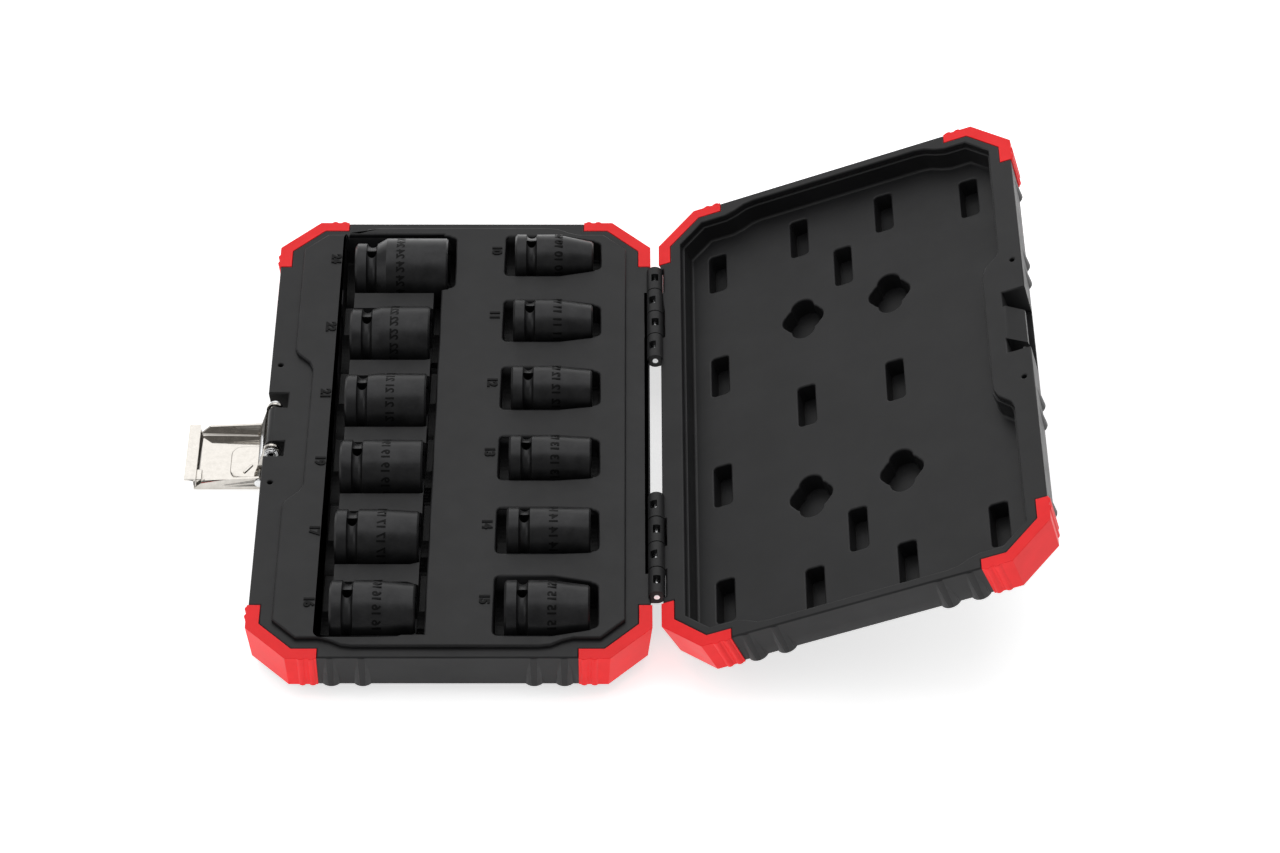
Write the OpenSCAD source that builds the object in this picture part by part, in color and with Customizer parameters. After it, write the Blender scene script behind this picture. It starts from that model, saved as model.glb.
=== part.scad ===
// Twelve-piece impact socket set in a folding blow-moulded case.
// Each half of the case is drawn in its own half frame: u (drawn as X) runs away
// from the hinge axis, Y runs along the hinge and z = 0 is the rim plane.
// The whole part then stands on z = 0 with its origin under the middle of the base.

/* [Case] */
// Width of one half, across the hinge, over the bumpers
case_w = 181; // [175:1:190]
// Length of the case along the hinge, over the bumpers
case_l = 294; // [288:1:300]
// Corner chamfer of the case, along each side
corner_cut = 18.7; // [16:0.1:20]
// Height of the base half, floor to rim
base_h = 26; // [25:0.5:30]
// Height of the lid half, rim to outer face
lid_h = 24; // [23:0.5:26]
// Gap from the hinge axis to the bumpers
hinge_gap = 2; // [1.5:0.1:3]
// Angle between the open lid and level
lid_raise = 22; // [10:1:40]

/* [Bumpers] */
// Length of a bumper arm from the case corner
bumper_arm = 32.7; // [28:0.1:36]
// Thickness of a bumper across its rim
bumper_t = 6; // [4:0.5:8]
// Height of a bumper
bumper_h = 19; // [16:0.5:19]
// How far a bumper stands out of the case wall
bumper_proud = 0.6; // [0.4:0.1:1.5]

/* [Sockets] */
// Nut sizes of the column beside the hinge, back to front
near_sizes = [10, 11, 12, 13, 14, 15];
// Nut sizes of the column beside the latch, back to front
far_sizes = [24, 22, 21, 19, 17, 16];
// Length of the sockets up to 22 mm
socket_len = 38; // [36:0.5:40]
// Length of the 24 mm socket
long_socket_len = 45; // [42:0.5:46]
// Width of the square drive, half-inch
drive_sq = 12.8; // [12.7:0.05:13]
// Diameter of the cross hole for the retaining pin
cross_hole_d = 5; // [4:0.5:6]

/* [Hinge] */
// Diameter of the hinge pins
pin_d = 3; // [2.5:0.1:3.5]
// Outer radius of a hinge knuckle
knuckle_r = 3.9; // [3.5:0.1:4.2]
// Spacing of the knuckles along the pin
knuckle_pitch = 16; // [14:0.5:17]
// Middle of each hinge, each side of the case centre
hinge_y = 78; // [60:1:90]

/* [Latch] */
// Middle of the latch along the case
latch_y = 3; // [0:0.5:5]
// Width of the latch plate
latch_w = 37.5; // [36:0.5:40]
// Length of the latch plate from its pivot to its hook
latch_len = 31; // [30:0.5:33]
// Thickness of the latch steel
steel_t = 1.2; // [1:0.1:1.6]
// Diameter of the tubular rivet that holds the latch
rivet_d = 4.4; // [4:0.1:5]
// Angle the latch's link has swung out from the wall, with the latch open
link_out = 19; // [19:0.5:22]

/* [Hidden] */
$fn = 64;

fit = 0.05;                       // radial clearance of a running pin
gap = 0.5;                        // clearance round a part that lifts or turns
hinge_x = case_w / 2 + hinge_gap; // hinge axis, from the middle of the base
rim_z = base_h;

// Outline of a half, as insets and heights down its drafted outer wall
seam = 0.1;                       // each rim stays this far from the seam
wall_draft = 2;
draft_angle = atan(wall_draft / bumper_h);
half_cu = hinge_gap + case_w / 2;
base_wall = [[0, -seam], [wall_draft, -bumper_h],
             [wall_draft + 5, 1.5 - base_h], [wall_draft + 6.5, -base_h]];
lid_side_h = 20;                  // height of the lid's side walls, above its chamfered edge
lid_wall = [[0, -seam], [wall_draft, 1 - bumper_h],
            [wall_draft + 2, -lid_side_h], [wall_draft + 7, -lid_h]];
bumper_wall = [[0, -seam], [wall_draft, -bumper_h]];
lid_bumper_h = bumper_h - 0.5;

// Raised panel of the base, which nests in the lid
panel_rise = 2;
panel_fit = 0.6;                  // gap between the panel and the lid's lip
panel_hinge_u = 14;               // its edge beside the hinge
panel_latch_u = 171.2;            // its edge beside the latch
panel_step_u = 162.3;             // the same edge where it steps back for the latch
panel_mid_y = 141;                // its front and back edges, in the middle
panel_end_y = 136;                // the same edges near the corners
panel_cut = 11;                   // its corner chamfer
step_in_y = 38.5;                 // half length of the step for the latch
step_out_y = 53;

// Lid hollow
lip_depth = 3;                    // depth of the lip that takes the panel
lid_floor = 12.5;                 // depth of the lid's inner floor
tack_depth = lid_h - 2.2;         // depth of the slots where the skins meet
tack_round = 1.8;
tack_w = 8.5;
tack_l = 26;
tack_slots = [[28, 110.5], [70.5, 118.5], [114, 118.5], [157, 110.5], [92, 89], [28, 37]];
tack_middles = [70.5, 114];
clover_u = [70.5, 114];
clover_y = 60;
clover_r = 9.3;

// Sockets
clamp_top = 11.5;                 // every socket's top, above the rim
near_u = 67.9;                    // drive ends of the column beside the hinge
far_u = 145.6;                    // drive ends of the column beside the latch
near_y = [for (i = [0:5]) 120 - 47.3 * i];
far_y = [115.2, 66, 19, -26, -71.5, -116.5];
small_drive_r = 12.5;
large_drive_r = 15;
nut_wall = [[10, 9], [11, 9.75], [12, 10.5], [13, 11.25], [14, 12], [15, 12.75], [16, 13.3],
            [17, 14], [19, 14.9], [21, 15.5], [22, 16.2], [24, 17.5]];
pocket_nut_end = 3.5;             // room beyond a socket's nut end
near_drive_end = 4.8;             // room beyond the drive ends beside the hinge
far_drive_end = 5.8;              // room beyond the drive ends beside the latch
pocket_round = 2.6;
channel_far = [145.2, 150.4];      // finger channel at the drive ends
channel_near = [103.3, 107];      // finger channel at the nut ends
channel_z = -14;
column_y = [-136, 138];
ridge_z = -0.5;                   // top of the ridges between the large sockets

// Hinge
knuckle_gap = 0.6;
window_u = 3.4;
window_y = 5;
hinge_l = 4 * knuckle_pitch;

// Latch
well_in = [11.4, 21.2];           // the latch channels, each side of its middle
well_depth = 9.5;
boss_in = 0.6;                    // the boss between them stands this far inside the wall
boss_round = 3.5;
wall_u = hinge_gap + case_w - bumper_proud;
rivet_u = wall_u - 3.4;           // rivet axis
rivet_z = -4.2;
link_u = 0.8;                     // the plate's pivot, from the rivet, with the link hanging
link_z = -17;
pivot_u = rivet_u + link_u * cos(link_out) - link_z * sin(link_out);
pivot_z = rivet_z + link_u * sin(link_out) + link_z * cos(link_out);
link_y = 14;                      // link arms, each side of the middle
ear_r = 4;
pivot_pin_r = 1.5;
pivot_r = 2.7;                    // round ends at the plate's pivot
flange_h = 6.6;                   // height of the latch plate's flanges
plate_drop = 4.2;                 // plate's inner face below its pivot
hook_h = 7.2;
hook_half = latch_w / 2 - 0.4;
lip_l = 4.2;                      // pull lip beyond the hook
rivet_half = 17.2;
boss_z = -16.5;                   // underside of the boss between the latch channels
notch_depth = 11;
notch_h = 16.5;
catch_u = wall_u - 2.6;           // the lid's catch, for the hook
catch_z = rivet_z + link_z + latch_len - steel_t - 0.4;
groove_u = wall_u - 5.6;
vent_r = 1.1;
vent_u = 177.8;
vent_depth = 4;
vent_y = [43.5, -36];

// Smaller features
ridge_r = 1.9;                    // ridges on the bumper arms
ridge_out = 0.8;
rib_r = 5;                        // half-round ribs on the walls
rib_out = 0.2;
latch_rib_in = 0.6;
rib_u = [41, 54.5, 130.5, 144.5];
rib_y = [-107, -51, -38.5, 44.5, 57, 107];
knuckle_arm = 5;
panel_root = 6;
drive_depth = 16;
groove_x = 8;                     // retaining groove, from the drive end
groove_r = 2.7;

function socket_r(s) = s <= 14 ? small_drive_r : large_drive_r;
function nut_r(s) = nut_wall[search(s, nut_wall)[0]][1];
function max_r(s) = max(socket_r(s), nut_r(s));
function axis_z(s) = clamp_top - max_r(s);
function body_l(s) = s == 24 ? long_socket_len : socket_len;
function nut_depth(s) = body_l(s) - drive_depth - 3;
function is_near(s) = s <= 15;
function index(s) = is_near(s) ? search(s, near_sizes)[0] : search(s, far_sizes)[0];
function socket_y(s) = is_near(s) ? near_y[index(s)] : far_y[index(s)];
function drive_u(s) = is_near(s) ? near_u : far_u;
function pocket_half(s) = s <= 14 ? max_r(s) + 2.2 : max_r(s) + 3.4;
function drive_end(s) = is_near(s) ? near_drive_end : far_drive_end;
function pocket_l(s) = body_l(s) + pocket_nut_end + drive_end(s);

// Cross-section of a slab whose two sides follow a drafted wall
function band(half, wall) = concat(
    [for (p = wall) [half - p[0], p[1]]],
    [for (i = [len(wall) - 1:-1:0]) [wall[i][0] - half, wall[i][1]]]);

// Half of the raised panel's outline: the front (side = -1) or the back (side = 1)
function panel_half(o, side) = [
    [panel_hinge_u - o, side * (panel_end_y - panel_cut + o / 2)],
    [panel_hinge_u + panel_cut - o / 2, side * (panel_end_y + o)],
    [37, side * (panel_end_y + o)],
    [42, side * (panel_end_y + 1.6 + o)],
    [47, side * (panel_mid_y - 0.8 + o)],
    [52, side * (panel_mid_y + o)],
    [135, side * (panel_mid_y + o)],
    [140, side * (panel_mid_y - 0.8 + o)],
    [145, side * (panel_end_y + 1.6 + o)],
    [150, side * (panel_end_y + o)],
    [panel_latch_u - panel_cut + o / 2, side * (panel_end_y + o)],
    [panel_latch_u + o, side * (panel_end_y - panel_cut + o / 2)],
    [panel_latch_u + o, side * (step_out_y + o)],
    [panel_latch_u - 1.4 + o, side * (step_out_y - 3.6)],
    [panel_step_u + 1.8 + o, side * (step_in_y + 5)],
    [panel_step_u + o, side * (step_in_y)]];

function reversed(v) = [for (i = [len(v) - 1:-1:0]) v[i]];
function panel_outline(o) = concat(panel_half(o, -1), reversed(panel_half(o, 1)));

// ---- One half of the case, in its half frame ----

// A slab along Y whose sides follow a wall
module slab(half, wall) {
    rotate([90, 0, 0])
        linear_extrude(height = 2 * case_l, center = true)
            polygon(band(half, wall));
}

// The drafted eight-sided block that both halves and their bumpers are cut from
module half_block(inset, wall) {
    diagonal = (case_w / 2 + case_l / 2 - corner_cut) / sqrt(2);
    translate([half_cu, 0, 0])
        intersection() {
            slab(case_w / 2 - inset, wall);
            rotate(90) slab(case_l / 2 - inset, wall);
            rotate(45) slab(diagonal - inset, wall);
            rotate(-45) slab(diagonal - inset, wall);
        }
}

// The square at one corner that a bumper covers; side is 1 at the back, end is 1 at the latch
module corner_square(side, end, h) {
    u = end > 0 ? hinge_gap + case_w - bumper_arm : hinge_gap - 5;
    y = side > 0 ? case_l / 2 - bumper_arm : -case_l / 2 - 5;
    translate([u, y, -h]) cube([bumper_arm + 5, bumper_arm + 5, h + 5]);
}

// Everything outside the inner face of the bumpers, at one corner
module corner_seat(side, end, h) {
    difference() {
        corner_square(side, end, h);
        half_block(bumper_t, [[0, 6], [0, -60]]);
    }
}

// Two half-round ridges across the end of a bumper arm, on a wall that faces +Y
module arm_ridges() {
    for (d = [2.4, 7])
        translate([d, -ridge_r + ridge_out, 0])
            rotate([-draft_angle, 0, 0])
                cylinder(r = ridge_r, h = 3 * bumper_h, center = true);
}

module bumper(side, end, h) {
    arm_u = end > 0 ? hinge_gap + case_w - bumper_arm : hinge_gap + bumper_arm;
    color("red")
        intersection() {
            union() {
                half_block(0, bumper_wall);
                translate([arm_u, side * case_l / 2, 0])
                    mirror([end > 0 ? 0 : 1, 0, 0])
                        mirror([0, side > 0 ? 0 : 1, 0])
                            arm_ridges();
                if (end > 0)
                    translate([hinge_gap + case_w, side * (case_l / 2 - bumper_arm), 0])
                        mirror([0, side > 0 ? 0 : 1, 0])
                            rotate(-90) mirror([1, 0, 0]) arm_ridges();
            }
            corner_seat(side, end, h);
            translate([-10, -case_l, -h]) cube([2 * case_w, 2 * case_l, h - seam]);
        }
}

// Half-round ribs that stiffen the walls of a half
module wall_ribs(h) {
    for (u = rib_u)
        for (side = [-1, 1])
            translate([u, side * (case_l / 2 - bumper_proud - rib_r + rib_out), -h])
                cylinder(r = rib_r, h = h - 1);
    for (y = rib_y)
        translate([wall_u - rib_r - latch_rib_in, y, -h])
            cylinder(r = rib_r, h = h - 1);
}

module knuckle_bar(y, r, l) {
    translate([0, y, 0]) rotate([90, 0, 0]) cylinder(r = r, h = l, center = true);
}

// Middles of the knuckles that belong to the base (even) or to the lid
function knuckles(base) = concat(
    [for (i = [0:3]) if ((i % 2 == 0) == base) hinge_y + (1.5 - i) * knuckle_pitch],
    [for (i = [0:3]) if ((i % 2 == 1) == base) -hinge_y + (1.5 - i) * knuckle_pitch]);

module with_knuckles(base) {
    difference() {
        union() {
            difference() {
                children();
                for (y = knuckles(!base)) knuckle_bar(y, knuckle_r + gap, knuckle_pitch + 0.4);
            }
            for (y = knuckles(base)) {
                knuckle_bar(y, knuckle_r, knuckle_pitch - knuckle_gap);
                translate([0, y - (knuckle_pitch - knuckle_gap) / 2, -knuckle_r])
                    cube([knuckle_arm, knuckle_pitch - knuckle_gap, knuckle_r - seam]);
            }
        }
        for (side = [-1, 1])
            knuckle_bar(side * hinge_y, pin_d / 2 + fit, hinge_l + 2);
        for (y = knuckles(base))
            translate([-window_u / 2, y - window_y / 2, -2 * knuckle_r])
                cube([window_u, window_y, 4 * knuckle_r]);
    }
}

module shell_block(wall, h, rib_h) {
    difference() {
        union() {
            half_block(bumper_proud, wall);
            wall_ribs(rib_h);
        }
        for (side = [-1, 1])
            for (end = [-1, 1])
                corner_seat(side, end, h);
    }
}

module vents() {
    for (y = vent_y)
        translate([vent_u, y, -vent_depth]) cylinder(r = vent_r, h = vent_depth + 1);
}

// ---- Base half ----

// Half of a pocket's outline in plan, from the nut end (x = 0); it narrows with the socket
function pocket_side(s) = concat(
    corner_arc(pocket_round, nut_r(s) + 1.1, 180),
    [[pocket_nut_end, nut_r(s) + 1.9],
     [pocket_nut_end + (is_near(s) ? 0.45 * body_l(s) : 8), pocket_half(s)]],
    corner_arc(pocket_l(s) - pocket_round, pocket_half(s), 90));

// A quarter round that starts at an angle, with its centre at x and its crown at y
function corner_arc(x, y, start) = [for (a = [start:-30:start - 90])
    [x + pocket_round * cos(a), y - pocket_round * (1 - sin(a))]];

function mirrored(v) = [for (i = [len(v) - 1:-1:0]) [v[i][0], -v[i][1]]];

// Trough for one socket: a round cradle with sloped sides above it, cut to its pocket's outline
module trough(s) {
    r = max_r(s) + gap;
    z = axis_z(s);
    half = pocket_half(s);
    l = pocket_l(s);
    top = panel_rise + 1;
    translate([drive_u(s) - body_l(s) - pocket_nut_end, socket_y(s), 0])
        intersection() {
            union() {
                translate([0, 0, z]) rotate([0, 90, 0]) cylinder(r = r, h = l);
                translate([l, 0, 0])
                    rotate([90, 0, -90])
                        linear_extrude(height = l)
                            polygon([[-r, z], [r, z], [half, panel_rise],
                                     [half, top], [-half, top], [-half, panel_rise]]);
            }
            translate([0, 0, -base_h])
                linear_extrude(height = 2 * base_h)
                    polygon(concat(pocket_side(s), mirrored(pocket_side(s))));
        }
}

// Rounds the boss's outer top edge, round the rivet
module boss_edge() {
    difference() {
        cube([2 * boss_round, 4 * well_in[0], 2 * boss_round]);
        rotate([-90, 0, 0]) cylinder(r = boss_round, h = 4 * well_in[0]);
    }
}

module latch_well() {
    for (side = [-1, 1])
        translate([wall_u - well_depth, latch_y + (side > 0 ? well_in[0] : -well_in[1]), -2 * base_h])
            cube([2 * well_depth, well_in[1] - well_in[0], 3 * base_h]);
    translate([wall_u - boss_in, latch_y - well_in[1], -2 * base_h])
        cube([10, 2 * well_in[1], 3 * base_h]);
    translate([wall_u - well_depth, latch_y - well_in[1], boss_z - 2 * base_h])
        cube([2 * well_depth, 2 * well_in[1], 2 * base_h]);
    intersection() {
        translate([wall_u - boss_in - boss_round, latch_y - 2 * well_in[0], -seam - boss_round])
            boss_edge();
        translate([0, latch_y - well_in[0] - 1, -base_h]) cube([case_w + 10, 2 * well_in[0] + 2, 2 * base_h]);
    }
    translate([rivet_u, latch_y, rivet_z]) rotate([90, 0, 0])
        cylinder(r = rivet_d / 2 + fit, h = 3 * well_in[0], center = true);
}

module base_half() {
    with_knuckles(true)
        difference() {
            union() {
                shell_block(base_wall, bumper_h, bumper_h - 0.5);
                translate([0, 0, -panel_root])
                    linear_extrude(height = panel_root + panel_rise) polygon(panel_outline(0));
            }
            for (s = concat(near_sizes, far_sizes)) trough(s);
            translate([channel_near[0], column_y[0] + 2, ridge_z])
                cube([channel_far[1] - channel_near[0], column_y[1] - column_y[0] - 4, 9]);
            for (c = [channel_near, channel_far])
                translate([c[0], column_y[0] + 4, channel_z])
                    cube([c[1] - c[0], column_y[1] - column_y[0] - 8, 20]);
            latch_well();
            vents();
        }
}

// ---- Lid half ----

module clover() {
    cylinder(r = clover_r, h = lid_h);
    for (p = [[0, 7.5], [0, -7.5], [4.6, 0], [-4.6, 0]])
        translate([p[0], p[1], 0]) cylinder(r = 5.6, h = lid_h);
}

module tack_slot() {
    half_w = tack_w / 2 - tack_round;
    half_l = tack_l / 2 - tack_round;
    linear_extrude(height = lid_h) {
        square([tack_w, 2 * half_l], center = true);
        square([2 * half_w, tack_l], center = true);
        for (x = [-half_w, half_w])
            for (y = [-half_l, half_l])
                translate([x, y]) circle(r = tack_round);
    }
}

// The notch for the latch, less the catch that its hook holds
module lid_notch() {
    half = latch_w / 2 + 1.6;
    difference() {
        translate([wall_u - notch_depth, latch_y - half, -notch_h])
            cube([2 * notch_depth, 2 * half, notch_h + 5]);
        translate([0, latch_y + well_in[0] - 0.4, 0])
            rotate([90, 0, 0])
                linear_extrude(height = 2 * well_in[0] - 0.8)
                    polygon([[160, -seam], [wall_u - notch_depth + 0.6, -seam],
                             [catch_u, 2 - catch_z], [catch_u, -catch_z], [groove_u, -catch_z],
                             [groove_u, -notch_h - 1], [160, -notch_h - 1]]);
    }
}

module lid_half() {
    with_knuckles(false)
        difference() {
            shell_block(lid_wall, lid_bumper_h, lid_side_h - 1.5);
            translate([0, 0, -lip_depth])
                linear_extrude(height = lip_depth + 2) polygon(panel_outline(panel_fit));
            translate([0, 0, -lid_floor])
                linear_extrude(height = lid_floor) polygon(panel_outline(-0.6));
            for (side = [-1, 1]) {
                for (p = tack_slots) translate([p[0], side * p[1], -tack_depth]) tack_slot();
                for (u = clover_u) translate([u, side * clover_y, -tack_depth]) clover();
            }
            for (u = tack_middles) translate([u, 0, -tack_depth]) tack_slot();
            lid_notch();
            vents();
        }
}

// ---- Placing the halves ----

module place_base() {
    translate([hinge_x, 0, rim_z]) mirror([1, 0, 0]) children();
}

module place_lid() {
    translate([hinge_x, 0, rim_z]) rotate([0, -lid_raise, 0]) children();
}

module base_shell() {
    color([0.22, 0.22, 0.23]) place_base() base_half();
}

module lid_shell() {
    color([0.2, 0.2, 0.21]) place_lid() lid_half();
}

module hinge_pin(side) {
    color("silver") place_base() knuckle_bar(side * hinge_y, pin_d / 2, hinge_l - 0.4);
}

// ---- Latch ----

module across(u, z, r, half) {
    translate([u, latch_y, z]) rotate([90, 0, 0]) cylinder(r = r, h = 2 * half, center = true);
}

module latch_rivet() {
    color("silver") place_base()
        difference() {
            across(rivet_u, rivet_z, rivet_d / 2, rivet_half);
            across(rivet_u, rivet_z, rivet_d / 2 - 0.9, rivet_half + 1);
        }
}

module link_bore(u, z, r) {
    translate([u, 0, z]) rotate([90, 0, 0]) cylinder(r = r + fit, h = 60, center = true);
}

// The link hangs from the rivet at the origin of its own frame, and has swung out
module latch_link() {
    color("gainsboro") place_base()
        translate([rivet_u, latch_y, rivet_z]) rotate([0, -link_out, 0])
            difference() {
                union() {
                    for (side = [-1, 1])
                        translate([0, side * link_y + steel_t / 2, 0])
                            rotate([90, 0, 0]) {
                                cylinder(r = ear_r, h = steel_t);
                                translate([link_u, link_z, 0]) cylinder(r = pivot_r, h = steel_t);
                                linear_extrude(height = steel_t)
                                    polygon([[-3.6, 0], [3.6, 0], [link_u + 2.6, link_z],
                                             [link_u - 2.6, link_z]]);
                            }
                    translate([link_u - 3.4, -link_y, link_z - 1.5])
                        cube([steel_t, 2 * link_y, 4]);
                }
                link_bore(0, 0, rivet_d / 2);
                link_bore(link_u, link_z, pivot_pin_r);
            }
}

module latch_pin() {
    color("silver") place_base() {
        across(pivot_u, pivot_z, pivot_pin_r, latch_w / 2 + 0.2);
        for (side = [-1, 1])
            translate([pivot_u, latch_y + side * (latch_w / 2 + 0.6), pivot_z])
                rotate([90, 0, 0]) cylinder(r = 2.3, h = 0.8, center = true);
    }
}

module latch_plate() {
    z0 = pivot_z - plate_drop - steel_t;
    u0 = pivot_u - 1.5;
    u1 = pivot_u + latch_len;
    color("gainsboro") place_base()
        difference() {
            union() {
                translate([u0, latch_y - latch_w / 2, z0]) cube([u1 - u0, latch_w, steel_t]);
                for (side = [-1, 1])
                    translate([0, latch_y + side * (latch_w - steel_t) / 2 + steel_t / 2, 0])
                        rotate([90, 0, 0]) {
                            linear_extrude(height = steel_t)
                                polygon([[u0, z0], [u1, z0], [u1, z0 + steel_t], [u1 - 5.5, z0 + flange_h],
                                         [pivot_u, z0 + flange_h + 1.4], [u0 - 1, pivot_z]]);
                            translate([pivot_u, pivot_z, 0]) cylinder(r = pivot_r, h = steel_t);
                        }
                translate([u1 - steel_t, latch_y - hook_half, z0]) cube([steel_t, 2 * hook_half, hook_h]);
                translate([u1 - steel_t, latch_y - hook_half, z0 + hook_h - steel_t])
                    cube([lip_l + steel_t, 2 * hook_half, steel_t]);
            }
            across(pivot_u, pivot_z, pivot_pin_r + fit, 30);
        }
}

// ---- Sockets ----

module socket(s) {
    r = socket_r(s);
    rn = nut_r(s);
    l = body_l(s);
    // The small sockets taper to the nut end, the large ones step up to it
    shape = rn < r
        ? [[0, 0], [r - 1, 0], [r, 1], [r, 0.53 * l], [rn, l - 0.8], [rn - 0.8, l], [0, l]]
        : [[0, 0], [r - 1, 0], [r, 1], [r, 10.7], [rn, 15.3], [rn, l - 0.8], [rn - 0.8, l], [0, l]];
    color([0.12, 0.12, 0.13])
        place_base()
            translate([drive_u(s), socket_y(s), axis_z(s)])
                rotate([0, -90, 0])
                    difference() {
                        rotate_extrude() polygon(shape);
                        rotate_extrude() translate([r + 0.7, groove_x]) circle(r = groove_r);
                        translate([-drive_sq / 2, -drive_sq / 2, -1])
                            cube([drive_sq, drive_sq, drive_depth + 1]);
                        cylinder(r = min(s / 2 - 0.8, drive_sq / 2 - 0.6), h = l);
                        translate([0, 0, l - nut_depth(s)])
                            rotate(30) cylinder(r = (s + 0.15) / sqrt(3), h = nut_depth(s) + 1, $fn = 6);
                        translate([0, 0, groove_x]) rotate([0, 90, 0])
                            cylinder(d = cross_hole_d, h = 4 * r, center = true);
                    }
}

base_shell();
lid_shell();
hinge_pin(1);  // hinge_pin_back
hinge_pin(-1);  // hinge_pin_front
latch_plate();
latch_link();
latch_rivet();
latch_pin();
for (side = [-1, 1]) {
    for (end = [-1, 1]) {
        name = str(side > 0 ? "back" : "front", end > 0 ? "_latch" : "_hinge");
        place_base() bumper(side, end, bumper_h);
        place_lid() bumper(side, end, lid_bumper_h);
    }
}
for (s = concat(near_sizes, far_sizes))
    socket(s);
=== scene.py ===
import math

import bmesh
import bpy
from mathutils import Matrix, Vector


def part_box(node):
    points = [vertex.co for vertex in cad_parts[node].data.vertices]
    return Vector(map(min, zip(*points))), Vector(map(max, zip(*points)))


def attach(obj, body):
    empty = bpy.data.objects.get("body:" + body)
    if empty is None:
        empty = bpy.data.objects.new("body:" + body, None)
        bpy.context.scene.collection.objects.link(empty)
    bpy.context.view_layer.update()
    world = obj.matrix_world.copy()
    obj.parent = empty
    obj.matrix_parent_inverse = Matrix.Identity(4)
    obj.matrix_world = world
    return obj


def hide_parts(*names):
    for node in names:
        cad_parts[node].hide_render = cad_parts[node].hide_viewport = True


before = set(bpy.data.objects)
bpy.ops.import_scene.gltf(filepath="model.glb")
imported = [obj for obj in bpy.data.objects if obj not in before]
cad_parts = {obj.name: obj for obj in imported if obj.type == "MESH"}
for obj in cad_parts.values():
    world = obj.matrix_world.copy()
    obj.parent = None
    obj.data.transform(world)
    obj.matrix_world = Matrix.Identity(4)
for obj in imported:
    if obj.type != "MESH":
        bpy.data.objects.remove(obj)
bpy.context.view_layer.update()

MM = 0.001
CASE_W = 0.181
HINGE_X = CASE_W / 2 + 0.002
RIM_Z = 0.026
PANEL_RISE = 0.002
PANEL_Z = RIM_Z + PANEL_RISE
LID_FLOOR = -0.0125
LIP_DEPTH = -0.003
LID_RAISE = math.radians(22)
LATCH_Y = 0.003
HARD_EDGE = math.radians(28)
FACING = math.radians(25)
MERGE = 2e-6
TINY = 1e-7
RING_STEPS = 48
NEARLY_FLAT = math.radians(0.6)
LEVEL_SLACK = 0.03 * MM
MIX_A, MIX_B, MIX_RESULT = 6, 7, 2
WAVE_TURN = 6.283
SMALL = (10, 11, 12, 13, 14, 15)
LARGE = (24, 22, 21, 19, 17, 16)
NUMERAL_PLACES = ((SMALL, HINGE_X - 77.2 * MM, 3.9 * MM), (LARGE, HINGE_X - 155.4 * MM, 2.2 * MM))
MARK_REPEATS = 6


# ---- Materials ----

def colour(code):
    """An sRGB hex colour as linear RGBA."""
    parts = [int(code[i:i + 2], 16) / 255 for i in (1, 3, 5)]
    return [c / 12.92 if c <= 0.04045 else ((c + 0.055) / 1.055) ** 2.4 for c in parts] + [1.0]


def add(mat, kind, inputs=None, **settings):
    """Adds a node with its settings; an input given as a socket is linked."""
    tree = mat.node_tree
    node = tree.nodes.new(kind)
    for key, value in settings.items():
        setattr(node, key, value)
    for key, value in (inputs or {}).items():
        if isinstance(value, bpy.types.NodeSocket):
            tree.links.new(value, node.inputs[key])
        else:
            node.inputs[key].default_value = value
    return node


def start_material(name):
    mat = bpy.data.materials.new(name)
    mat.use_nodes = True
    mat.node_tree.nodes.clear()
    coords = add(mat, "ShaderNodeTexCoord").outputs["Object"]
    return mat, coords


def per_metre(mm):
    """The scale of a pattern whose features are this many millimetres across."""
    return 1000 / mm


def noise(mat, coords, mm, detail=2.0, rough=0.5):
    values = {"Vector": coords, "Scale": per_metre(mm), "Detail": detail, "Roughness": rough}
    return add(mat, "ShaderNodeTexNoise", values).outputs["Fac"]


def bump_map(mat, height, strength, distance, under=None):
    """A bump on top of another one, or on the plain surface; distance in millimetres."""
    values = {"Height": height, "Strength": strength, "Distance": distance * MM}
    if under is not None:
        values["Normal"] = under
    return add(mat, "ShaderNodeBump", values).outputs["Normal"]


def ramp(mat, fac, stops):
    node = add(mat, "ShaderNodeValToRGB", {"Fac": fac})
    while len(node.color_ramp.elements) < len(stops):
        node.color_ramp.elements.new(0.5)
    for element, (place, value) in zip(node.color_ramp.elements, stops):
        element.position = place
        element.color = colour(value) if isinstance(value, str) else (value, value, value, 1)
    return node.outputs["Color"]


def finish_material(mat, **inputs):
    names = {k.replace("_", " "): v for k, v in inputs.items()}
    shader = add(mat, "ShaderNodeBsdfPrincipled", names)
    add(mat, "ShaderNodeOutputMaterial", {"Surface": shader.outputs["BSDF"]})
    return mat


def blow_moulded_hdpe():
    # Charcoal high-density polyethylene, blow moulded against a spark-eroded steel mould.
    # The eye gets a satin skin with a fine grain, a slow waviness where the wall cooled
    # unevenly, and pale rubbed patches. The grain is really 0.2 mm and is drawn at 0.6 mm.
    mat, co = start_material("blow_moulded_hdpe")
    grain = noise(mat, co, 0.6, 3, 0.6)
    wave = noise(mat, co, 26, 1, 0.4)
    rubbed = noise(mat, co, 9, 5, 0.7)
    tone = ramp(mat, wave, [(0.3, "#1B1B1C"), (0.7, "#202021")])
    worn = ramp(mat, rubbed, [(0.58, 0.0), (0.80, 0.30)])
    mixed = add(mat, "ShaderNodeMix", {"Factor": worn, MIX_A: tone, MIX_B: colour("#2B2B2C")},
                data_type="RGBA").outputs[MIX_RESULT]
    rough = ramp(mat, rubbed, [(0.3, 0.38), (0.75, 0.50)])
    slow = bump_map(mat, wave, 0.35, 0.4)
    return finish_material(mat, Base_Color=mixed, Roughness=rough, IOR=1.54, Specular_IOR_Level=0.22,
                           Normal=bump_map(mat, grain, 0.25, 0.05, slow))


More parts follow.
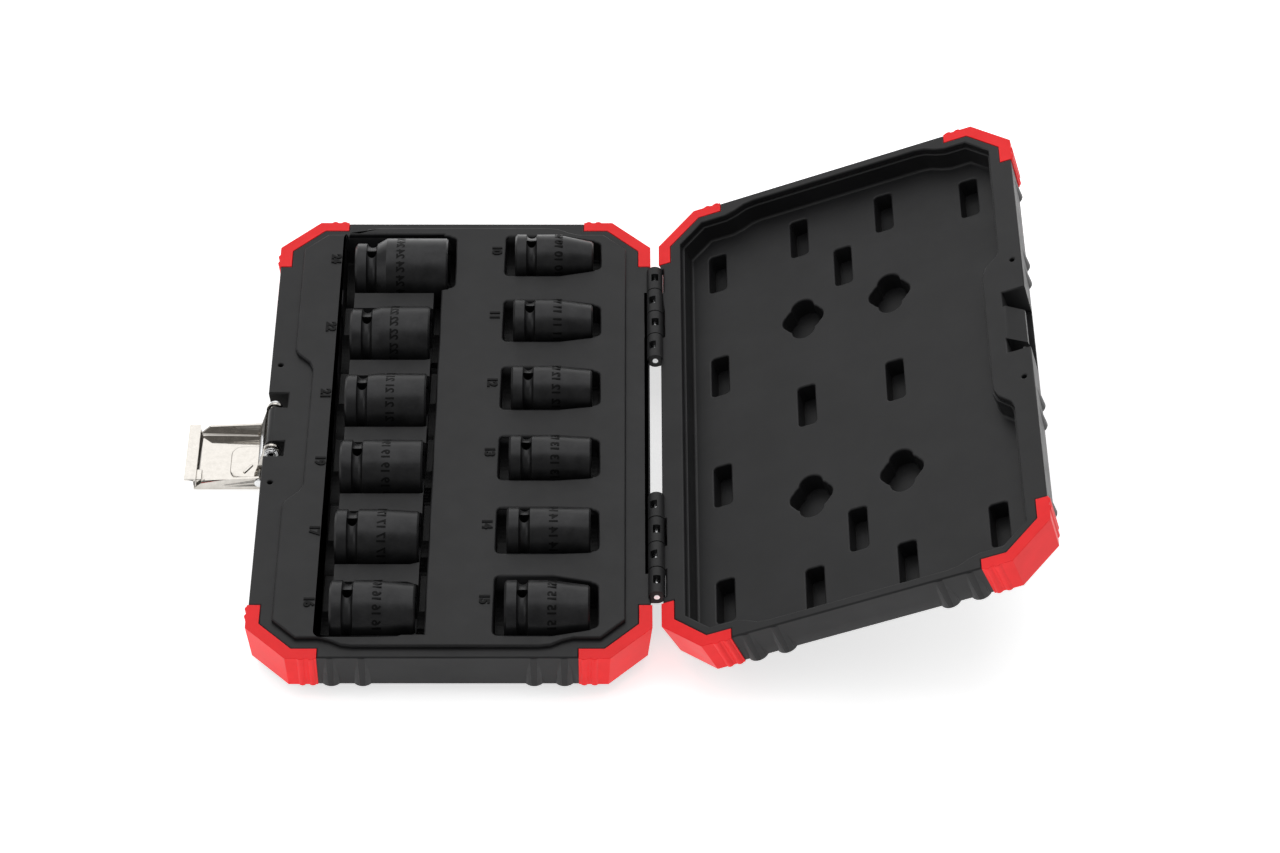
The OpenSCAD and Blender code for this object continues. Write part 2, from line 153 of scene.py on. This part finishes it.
def red_moulded_pp():
    # Red polypropylene bumpers, injection moulded in a polished tool. The eye gets a
    # clean saturated red with a soft gloss, a trace of orange peel and faint scuffs.
    mat, co = start_material("red_moulded_pp")
    peel = noise(mat, co, 1.4, 2, 0.5)
    cloud = noise(mat, co, 14, 3, 0.6)
    tone = ramp(mat, cloud, [(0.3, "#F01D20"), (0.7, "#FA2529")])
    rough = ramp(mat, cloud, [(0.3, 0.30), (0.75, 0.42)])
    return finish_material(mat, Base_Color=tone, Roughness=rough, IOR=1.49, Specular_IOR_Level=0.20,
                           Normal=bump_map(mat, peel, 0.12, 0.05))


def phosphated_steel():
    # Chrome-molybdenum steel, turned, hardened and manganese phosphated, then oiled. The eye
    # gets a near-black bloom with a soft metallic sheen. The crystals are 0.02 mm across and
    # are drawn at 0.45 mm; the rings the lathe left are 0.5 mm apart.
    mat, co = start_material("phosphated_steel")
    crystals = noise(mat, co, 0.45, 3, 0.65)
    oil = noise(mat, co, 7, 4, 0.6)
    tone = ramp(mat, oil, [(0.3, "#232324"), (0.7, "#313132")])
    rough = ramp(mat, oil, [(0.25, 0.30), (0.75, 0.42)])
    values = {"Vector": co, "Scale": per_metre(0.5) / WAVE_TURN, "Distortion": 0.6, "Detail": 1.0}
    rings = add(mat, "ShaderNodeTexWave", values, wave_type="BANDS", bands_direction="X").outputs["Fac"]
    turned = bump_map(mat, rings, 0.10, 0.02)
    return finish_material(mat, Base_Color=tone, Metallic=0.7, Roughness=rough,
                           Normal=bump_map(mat, crystals, 0.22, 0.03, turned))


def stamped_black():
    # Black pigmented foil, hot stamped on the raised numerals of the case. On the sockets' size marks
    # the same black is painted shade: it stands for the shadow inside the stamped figures.
    # The eye gets a flat black, a little glossier on the crowns, with worn specks.
    mat, co = start_material("stamped_black")
    specks = noise(mat, co, 0.7, 4, 0.7)
    tone = ramp(mat, specks, [(0.35, "#030303"), (0.8, "#0B0B0C")])
    rough = ramp(mat, specks, [(0.3, 0.34), (0.8, 0.60)])
    return finish_material(mat, Base_Color=tone, Roughness=rough, IOR=1.5, Specular_IOR_Level=0.12,
                           Normal=bump_map(mat, specks, 0.15, 0.03))


def bright_nickel_plate():
    # Pressed spring steel, barrel plated with bright nickel. The eye gets a mirror with soft
    # ripples from pressing and a few hazy patches.
    mat, co = start_material("bright_nickel_plate")
    ripple = noise(mat, co, 6, 2, 0.5)
    haze = noise(mat, co, 2.5, 4, 0.6)
    tone = ramp(mat, haze, [(0.3, "#B7B3AD"), (0.7, "#C6C2BC")])
    rough = ramp(mat, haze, [(0.35, 0.05), (0.8, 0.15)])
    return finish_material(mat, Base_Color=tone, Metallic=1.0, Roughness=rough,
                           Normal=bump_map(mat, ripple, 0.25, 0.10))


def drawn_steel_wire():
    # Drawn steel wire, zinc plated, for the hinge pins, rivet and latch pin. The eye gets a
    # bright gleam with fine lines along the draw, drawn 0.4 mm apart.
    mat, co = start_material("drawn_steel_wire")
    drawn_out = {"Vector": co, "Scale": (1.0, 0.06, 1.0)}
    stretched = add(mat, "ShaderNodeMapping", drawn_out).outputs["Vector"]
    lines = noise(mat, stretched, 0.4, 2, 0.6)
    tone = ramp(mat, lines, [(0.3, "#D6D7D8"), (0.7, "#ECEDEE")])
    rough = ramp(mat, lines, [(0.3, 0.16), (0.7, 0.30)])
    return finish_material(mat, Base_Color=tone, Metallic=1.0, Roughness=rough,
                           Normal=bump_map(mat, lines, 0.15, 0.02))


PLASTIC = blow_moulded_hdpe()
RED = red_moulded_pp()
BLACK_STEEL = phosphated_steel()
FOIL_AND_STAMP_SHADE = stamped_black()
NICKEL = bright_nickel_plate()
WIRE = drawn_steel_wire()


# ---- Pieces ----

def object_from(bm, name, mat):
    mesh = bpy.data.meshes.new(name)
    bm.to_mesh(mesh)
    bm.free()
    obj = bpy.data.objects.new(name, mesh)
    bpy.context.scene.collection.objects.link(obj)
    mesh.materials.append(mat)
    mesh.polygons.foreach_set("use_smooth", [True] * len(mesh.polygons))
    return obj


def merged_copy(node):
    """A CAD part's mesh with its doubles merged and its flats whole again."""
    bm = bmesh.new()
    bm.from_mesh(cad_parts[node].data)
    bmesh.ops.remove_doubles(bm, verts=bm.verts, dist=MERGE)
    bmesh.ops.dissolve_limit(bm, angle_limit=NEARLY_FLAT, verts=bm.verts, edges=bm.edges,
                             use_dissolve_boundaries=False)
    return bm


def stands_for(obj, node, body):
    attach(obj, body)
    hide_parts(node)


def even_normals(obj):
    """Keeps the broad faces flat, and lets the rounded edges take the turn."""
    obj.data.set_sharp_from_angle(angle=HARD_EDGE)
    weighted = obj.modifiers.new("broad_faces_flat", "WEIGHTED_NORMAL")
    weighted.mode = "FACE_AREA"
    weighted.weight = 100
    weighted.keep_sharp = True


def rounded(node, body, mat, width, segments=3):
    """A CAD part with every hard edge rounded by the same amount."""
    obj = object_from(merged_copy(node), node + "_rounded", mat)
    edge = obj.modifiers.new("rounded_edges", "BEVEL")
    edge.width = width
    edge.segments = segments
    edge.limit_method = "ANGLE"
    edge.angle_limit = HARD_EDGE
    edge.use_clamp_overlap = True
    even_normals(obj)
    stands_for(obj, node, body)
    return obj


def bevel_edges(bm, edges, width, segments, clamp):
    bmesh.ops.bevel(bm, geom=edges, offset=width, offset_type="OFFSET", segments=segments, profile=0.5,
                    affect="EDGES", clamp_overlap=clamp, material=-1)


def turned_edge(edge):
    """Whether two faces meet at this edge at a hard angle."""
    return edge.is_manifold and edge.calc_face_angle() > HARD_EDGE


def base_height(point):
    return point.z - RIM_Z


def lid_height(point):
    """Height above the lid's rim, square to it."""
    return (point.z - RIM_Z) * math.cos(LID_RAISE) - (point.x - HINGE_X) * math.sin(LID_RAISE)


def round_level(bm, height, level, width, convex=True, segments=3):
    """Rounds the hard edges that lie at one level of a case half."""
    edges = [e for e in bm.edges
             if turned_edge(e) and e.is_convex == convex
             and all(abs(height(v.co) - level) < LEVEL_SLACK for v in e.verts)]
    bevel_edges(bm, edges, width, segments, False)


def case_half(node, body, height, levels):
    """One moulded half of the case, its mouths and rims rounded level by level."""
    bm = merged_copy(node)
    for level, width, convex in levels:
        round_level(bm, height, level, width, convex)
    obj = object_from(bm, node + "_moulded", PLASTIC)
    even_normals(obj)
    stands_for(obj, node, body)
    return obj


def numeral(text, size, depth, swell):
    """Raised numerals as a mesh, standing on z = 0 and read along X."""
    curve = bpy.data.curves.new("numeral_" + text, "FONT")
    curve.body = text
    curve.size = size
    curve.extrude = depth / 2
    curve.offset = swell
    curve.bevel_depth = 0.03 * MM
    curve.resolution_u = 4
    curve.align_x, curve.align_y = "CENTER", "CENTER"
    flat = bpy.data.objects.new("numeral_" + text, curve)
    bpy.context.scene.collection.objects.link(flat)
    bpy.context.view_layer.update()
    final = flat.evaluated_get(bpy.context.evaluated_depsgraph_get())
    mesh = bpy.data.meshes.new_from_object(final)
    bpy.data.objects.remove(flat)
    return mesh


def socket_numerals():
    """The size beside each socket's pocket, in one piece."""
    bm = bmesh.new()
    turn = Matrix.Rotation(-math.pi / 2, 4, "Z")
    for sizes, x, back in NUMERAL_PLACES:
        for size in sizes:
            low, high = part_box("socket_%d" % size)
            mesh = numeral(str(size), 6.3 * MM, 0.6 * MM, 0.27 * MM)
            place = Matrix.Translation((x, (low.y + high.y) / 2 + back, PANEL_Z + 0.1 * MM))
            mesh.transform(place @ turn)
            bm.from_mesh(mesh)
            bpy.data.meshes.remove(mesh)
    obj = object_from(bm, "socket_numerals", FOIL_AND_STAMP_SHADE)
    obj.data.set_sharp_from_angle(angle=HARD_EDGE)
    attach(obj, "case_base")


def size_mark(size):
    """The size rolled round a socket's body, over and over, in a black that is painted shade for the
    stamped figures.
    """
    low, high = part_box("socket_%d" % size)
    radius = (high.z - low.z) / 2
    along = high.x - (23 if size == LARGE[0] else 17) * MM
    centre_y, centre_z = (low.y + high.y) / 2, (low.z + high.z) / 2
    mesh = numeral(" ".join([str(size)] * MARK_REPEATS), 5.4 * MM, 0.16 * MM, 0.16 * MM)
    for vert in mesh.vertices:
        angle = vert.co.x / radius - FACING
        out = radius + vert.co.z
        vert.co = (along + vert.co.y, centre_y + out * math.sin(angle),
                   centre_z + out * math.cos(angle))
    bm = bmesh.new()
    bm.from_mesh(mesh)
    bpy.data.meshes.remove(mesh)
    bmesh.ops.recalc_face_normals(bm, faces=bm.faces)
    # The black of these marks is painted shade, standing for the shadow inside stamped figures.
    obj = object_from(bm, "socket_%d_size_mark" % size, FOIL_AND_STAMP_SHADE)
    obj.data.set_sharp_from_angle(angle=HARD_EDGE)
    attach(obj, "socket_%d_body" % size)


def block(low, high):
    bm = bmesh.new()
    bmesh.ops.create_cube(bm, size=1)
    low, high = Vector(low), Vector(high)
    bmesh.ops.scale(bm, vec=high - low, verts=bm.verts)
    bmesh.ops.translate(bm, vec=(low + high) / 2, verts=bm.verts)
    return bm


def bevel_where(bm, chosen, width, segments=3):
    bevel_edges(bm, [e for e in bm.edges if chosen(e)], width, segments, True)


def upright(edge):
    a, b = (v.co for v in edge.verts)
    return abs((a - b).z) > 0.9 * (a - b).length


def long_in_x(edge):
    a, b = (v.co for v in edge.verts)
    return abs((a - b).x) > 0.9 * (a - b).length and (a - b).length > 10 * MM


def long_in_y(edge):
    a, b = (v.co for v in edge.verts)
    return abs((a - b).y) > 30 * MM


def folded_latch():
    """The latch plate with the bends that the press left along its flanges and its hook."""
    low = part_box("latch_plate")[0]
    bm = merged_copy("latch_plate")
    under = low.z + 0.2 * MM
    bevel_where(bm, lambda e: turned_edge(e) and not e.is_convex and (long_in_x(e) or long_in_y(e)),
                1.2 * MM, 5)
    bevel_where(bm, lambda e: turned_edge(e) and e.is_convex and long_in_x(e)
                and all(v.co.z < under for v in e.verts), 1.6 * MM, 5)
    bevel_where(bm, turned_edge, 0.22 * MM, 2)
    obj = object_from(bm, "latch_plate_folded", NICKEL)
    even_normals(obj)
    stands_for(obj, "latch_plate", "latch_plate")


def latch_pressing():
    """The raised pad pressed in the latch plate, its slanted bead and its bent end tab."""
    low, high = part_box("latch_plate")
    face = low.z + 1.2 * MM
    pad = block((high.x - 17.5 * MM, LATCH_Y - 12 * MM, face - 0.5 * MM),
                (high.x - 3.4 * MM, LATCH_Y + 9 * MM, face + 0.95 * MM))
    round_end = high.x - 10 * MM
    bevel_where(pad, lambda e: upright(e) and e.verts[0].co.x < round_end, 5.5 * MM, 8)
    bevel_where(pad, lambda e: all(v.co.z > face for v in e.verts), 0.6 * MM)
    bead = block((-3.2 * MM, -0.6 * MM, 0), (3.2 * MM, 0.6 * MM, 0.8 * MM))
    bevel_where(bead, lambda e: True, 0.22 * MM)
    slant = Matrix.Rotation(math.radians(55), 3, "Z")
    bmesh.ops.rotate(bead, cent=(0, 0, 0), matrix=slant, verts=bead.verts)
    bmesh.ops.translate(bead, vec=(high.x - 9 * MM, LATCH_Y - 6.5 * MM, face + 0.75 * MM),
                        verts=bead.verts)
    end = low.x + 4.2 * MM
    tab = block((end + 1.0 * MM, low.y + 1.6 * MM, face - 0.3 * MM),
                (end + 3.8 * MM, low.y + 8.6 * MM, face + 4.4 * MM))
    bevel_where(tab, lambda e: True, 0.5 * MM)
    for name, bm in (("latch_pad", pad), ("latch_bead", bead), ("latch_end_tab", tab)):
        obj = object_from(bm, name, NICKEL)
        even_normals(obj)
        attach(obj, "latch_plate")


def ring(name, centre, inner, outer, thick, mat, body):
    """A flat ring round an axis along Y, its edges rounded."""
    bm = bmesh.new()
    half = thick / 2
    outline = ((inner, -half), (outer, -half), (outer, half), (inner, half))
    face = bm.faces.new([bm.verts.new((r, y, 0)) for r, y in outline])
    bmesh.ops.spin(bm, geom=[face], cent=(0, 0, 0), axis=(0, 1, 0), angle=2 * math.pi,
                   steps=RING_STEPS, use_merge=True)
    inside = [f for f in bm.faces if all(abs(v.co.z) < TINY and v.co.x > 0 for v in f.verts)]
    bmesh.ops.delete(bm, geom=inside, context="FACES_ONLY")
    bmesh.ops.remove_doubles(bm, verts=bm.verts, dist=TINY)
    bmesh.ops.recalc_face_normals(bm, faces=bm.faces)
    bevel_where(bm, turned_edge, 0.15 * MM, 2)
    bmesh.ops.translate(bm, vec=centre, verts=bm.verts)
    obj = object_from(bm, name, mat)
    even_normals(obj)
    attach(obj, body)


def rivet_rings():
    """Washers beyond the link's arms, at both ends of the rivet."""
    low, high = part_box("latch_rivet")
    x, z = (low.x + high.x) / 2, (low.z + high.z) / 2
    for side, y in ((1, high.y), (-1, low.y)):
        for k, outer in enumerate((2.9, 3.3)):
            name = "rivet_washer_%s_%d" % ("back" if side > 0 else "front", k + 1)
            centre = (x, y - side * (0.5 + 0.9 * k) * MM, z)
            ring(name, centre, 2.22 * MM, outer * MM, 0.6 * MM, WIRE, "case_base")


case_half("base_shell", "case_base", base_height,
          [(PANEL_RISE, 1.0 * MM, True), (-0.1 * MM, 0.8 * MM, True), (0.0, 0.5 * MM, False)])
case_half("lid_shell", "lid", lid_height,
          [(LID_FLOOR, 0.9 * MM, True), (LID_FLOOR, 1.4 * MM, False), (LIP_DEPTH, 0.5 * MM, True),
           (-0.1 * MM, 0.8 * MM, True)])
for corner in ("back_latch", "back_hinge", "front_latch", "front_hinge"):
    rounded("base_bumper_" + corner, "case_base", RED, 0.5 * MM)
    rounded("lid_bumper_" + corner, "lid", RED, 0.5 * MM)
for size in SMALL + LARGE:
    rounded("socket_%d" % size, "socket_%d_body" % size, BLACK_STEEL, 0.35 * MM, 2)
    size_mark(size)
folded_latch()
rounded("latch_link", "latch_link", NICKEL, 0.25 * MM, 2)
rounded("latch_pin", "latch_link", WIRE, 0.2 * MM, 2)
rounded("latch_rivet", "case_base", WIRE, 0.15 * MM, 2)
rounded("hinge_pin_back", "case_base", WIRE, 0.2 * MM, 2)
rounded("hinge_pin_front", "case_base", WIRE, 0.2 * MM, 2)
socket_numerals()
latch_pressing()
rivet_rings()


# ---- Studio ----

def studio():
    """A white light table under a bright backdrop, darker towards the front."""
    bm = bmesh.new()
    bmesh.ops.create_grid(bm, x_segments=1, y_segments=1, size=6)
    # White acrylic sheet lit from below. The eye gets an even glow that softens every shadow.
    floor_mat, co = start_material("opal_acrylic_sheet")
    sheet = ramp(floor_mat, noise(floor_mat, co, 40, 2, 0.5), [(0.3, "#F6F6F6"), (0.7, "#FCFCFC")])
    finish_material(floor_mat, Base_Color=sheet, Roughness=0.8, Emission_Color=colour("#FFFFFF"),
                    Emission_Strength=0.66)
    floor = object_from(bm, "floor", floor_mat)

    world = bpy.data.worlds.new("studio")
    bpy.context.scene.world = world
    world.use_nodes = True
    direction = add(world, "ShaderNodeTexCoord").outputs["Generated"]
    ahead = add(world, "ShaderNodeSeparateXYZ", {"Vector": direction}).outputs["Y"]
    zone = add(world, "ShaderNodeMapRange", {"Value": ahead, "From Min": -1.0, "From Max": 1.0})
    glow = ramp(world, zone.outputs["Result"], [(0.15, 0.32), (0.5, 0.5), (0.81, 0.42), (0.92, 1.22)])
    backdrop = world.node_tree.nodes["Background"]
    world.node_tree.links.new(glow, backdrop.inputs["Color"])
    backdrop.inputs["Strength"].default_value = 1.0

    lamps = (("overhead_softbox", (0.0, 0.5, 1.5), 1.8, 11), ("side_fill", (-1.3, -0.4, 1.0), 1.0, 3))
    for name, place, size, power in lamps:
        lamp = bpy.data.lights.new(name, "AREA")
        lamp.size = size
        lamp.energy = power
        obj = bpy.data.objects.new(name, lamp)
        obj.location = place
        obj.rotation_mode = "QUATERNION"
        obj.rotation_quaternion = (-Vector(place)).to_track_quat("-Z", "Y")
        bpy.context.scene.collection.objects.link(obj)
    bpy.context.scene.view_settings.view_transform = "Standard"


def camera():
    """A long lens above the front edge, looking down at about 44 degrees."""
    data = bpy.data.cameras.new("camera")
    data.sensor_fit = "HORIZONTAL"
    data.sensor_width = 36
    data.lens = 112.18
    data.clip_start, data.clip_end = 0.05, 30
    cam = bpy.data.objects.new("camera", data)
    right = Vector((0.99999605, -0.00185672, 0.00211101)).normalized()
    ahead = Vector((0.00280029, 0.72441152, -0.6893621)).normalized()
    up = right.cross(ahead).normalized()
    turn = Matrix((right, up, -ahead)).transposed().to_4x4()
    cam.matrix_world = Matrix.Translation((0.07992, -1.34865, 1.31040)) @ turn
    bpy.context.scene.collection.objects.link(cam)
    bpy.context.scene.camera = cam


studio()
camera()
